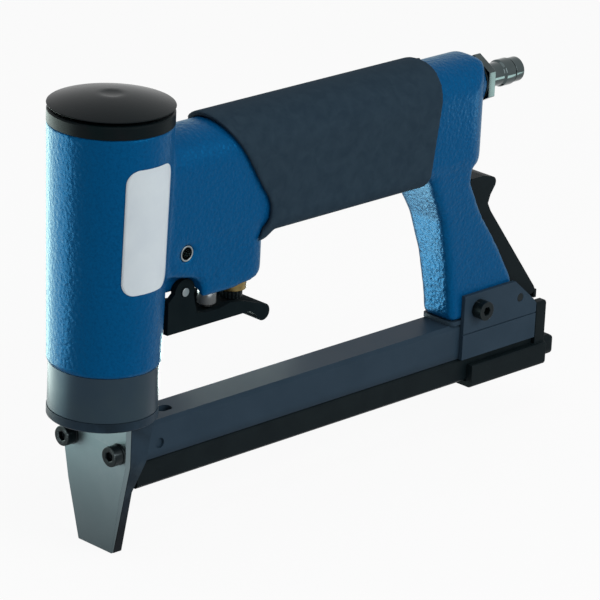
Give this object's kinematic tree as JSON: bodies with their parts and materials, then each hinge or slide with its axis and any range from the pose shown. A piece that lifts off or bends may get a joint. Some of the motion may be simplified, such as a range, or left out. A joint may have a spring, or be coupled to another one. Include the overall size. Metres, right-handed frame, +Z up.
{
  "type": "pneumatic upholstery stapler",
  "caption": "Air-driven upholstery stapler with a blue cast housing, rubber grip, finger trigger, tapered nose and a long bottom-loading magazine.",
  "frame": {"origin": "the staple exit: where the drive axis meets the plane of the nose foot", "axes": "+X to the rear along the magazine, +Z up the barrel, +Y across the width"},
  "size_m": [0.2313, 0.0408, 0.1533],
  "materials": {
    "blue_enamel": "cast, under hammered gloss enamel",
    "grip_rubber": "fine matte grain",
    "dome_plastic": "gloss",
    "band_plastic": "satin",
    "dark_fasteners": "black oxide",
    "grey_steel": "satin",
    "seal_rubber": "matte",
    "spring_steel": "drawn wire",
    "valve_plastic": "moulded",
    "liner_metal": "honed",
    "piston_metal": "turned",
    "bright_steel": "ground",
    "bumper_rubber": "moulded",
    "collar_metal": "dark anodised satin",
    "nose_black": "satin black",
    "plate_steel": "burnished",
    "magazine_black": "satin black",
    "slide_black": "satin black",
    "lever_black": "satin black",
    "trigger_black": "satin black",
    "brass": "turned",
    "knob_black": "knurled",
    "plug_chrome": "polished"
  },
  "bodies": {
    "tool_body": {"housing": "blue_enamel", "grip_sleeve": "grip_rubber", "cap_base": "band_plastic", "cap_dome": "dome_plastic", "cap_screws": "dark_fasteners", "cap_seal": "seal_rubber", "head_valve_spring": "spring_steel", "cylinder_liner": "liner_metal", "liner_seals": "seal_rubber", "bumper": "bumper_rubber", "barrel_collar": "collar_metal", "nose_body": "nose_black", "flange_screws": "dark_fasteners", "front_plate": "plate_steel", "nose_screws": "dark_fasteners", "nose_washers": "grey_steel", "magazine_cover": "magazine_black", "rear_bracket": "magazine_black", "bracket_screw": "dark_fasteners", "bracket_nut": "dark_fasteners", "latch_pin": "bright_steel", "latch_spring": "spring_steel", "trigger_pin": "bright_steel", "plunger_spring": "spring_steel", "valve_body": "brass", "valve_body_seal": "seal_rubber", "valve_spring": "spring_steel", "cross_pin": "bright_steel", "air_plug": "plug_chrome", "plug_washer": "grey_steel"},
    "drive": {"piston": "piston_metal", "piston_ring": "seal_rubber", "driver_blade": "bright_steel", "driver_pin": "bright_steel"},
    "head_valve_unit": {"head_valve": "valve_plastic", "head_valve_seal": "seal_rubber"},
    "trigger_unit": {"trigger": "trigger_black"},
    "plunger_unit": {"trigger_plunger": "bright_steel"},
    "stem_unit": {"valve_stem": "bright_steel", "valve_knob": "knob_black", "stem_seal": "seal_rubber"},
    "slide_unit": {"magazine_slide": "magazine_black", "slide_end": "slide_black", "slide_rivets": "grey_steel", "pull_knob": "slide_black", "guide_rod": "bright_steel", "pusher_spring": "spring_steel"},
    "pusher_unit": {"pusher": "bright_steel"},
    "latch_unit": {"latch_lever": "lever_black"}
  },
  "joints": [
    {"name": "piston_stroke", "type": "slide", "parent": "tool_body", "child": "drive", "axis": [0, 0, -1], "range_m": [0, 0.039]},
    {"name": "head_valve_lift", "type": "slide", "parent": "tool_body", "child": "head_valve_unit", "axis": [0, 0, 1], "range_m": [0, 0.003], "stiffness_N_per_m": 200, "springref_m": -0.002, "deforming": ["head_valve_spring"]},
    {"name": "trigger_pull", "type": "hinge", "parent": "tool_body", "child": "trigger_unit", "pos_m": [0.0266, 0, 0.0837], "axis": [0, -1, 0], "range_deg": [0, 7], "stiffness_Nm_per_rad": 0.2, "springref_deg": -8.59},
    {"name": "plunger_rise", "type": "slide", "parent": "tool_body", "child": "plunger_unit", "axis": [0, 0, 1], "range_m": [0, 0.0024], "deforming": ["plunger_spring"]},
    {"name": "stem_rise", "type": "slide", "parent": "tool_body", "child": "stem_unit", "axis": [0, 0, 1], "range_m": [0, 0.0038], "deforming": ["valve_spring"]},
    {"name": "slide_draw", "type": "slide", "parent": "tool_body", "child": "slide_unit", "axis": [1, 0, 0], "range_m": [0, 0.11]},
    {"name": "pusher_travel", "type": "slide", "parent": "slide_unit", "child": "pusher_unit", "axis": [1, 0, 0], "range_m": [0, 0.11], "stiffness_N_per_m": 20, "springref_m": -0.12, "deforming": ["pusher_spring"]},
    {"name": "latch_press", "type": "hinge", "parent": "tool_body", "child": "latch_unit", "pos_m": [0.1885, 0, 0.045], "axis": [0, -1, 0], "range_deg": [-6, 5], "stiffness_Nm_per_rad": 0.25, "springref_deg": -11.46, "deforming": ["latch_spring"]}
  ],
  "couplings": [
    {"joint": "plunger_rise", "follows": "trigger_pull", "m_per_rad": 0.0187},
    {"joint": "stem_rise", "follows": "trigger_pull", "m_per_rad": 0.0299}
  ]
}
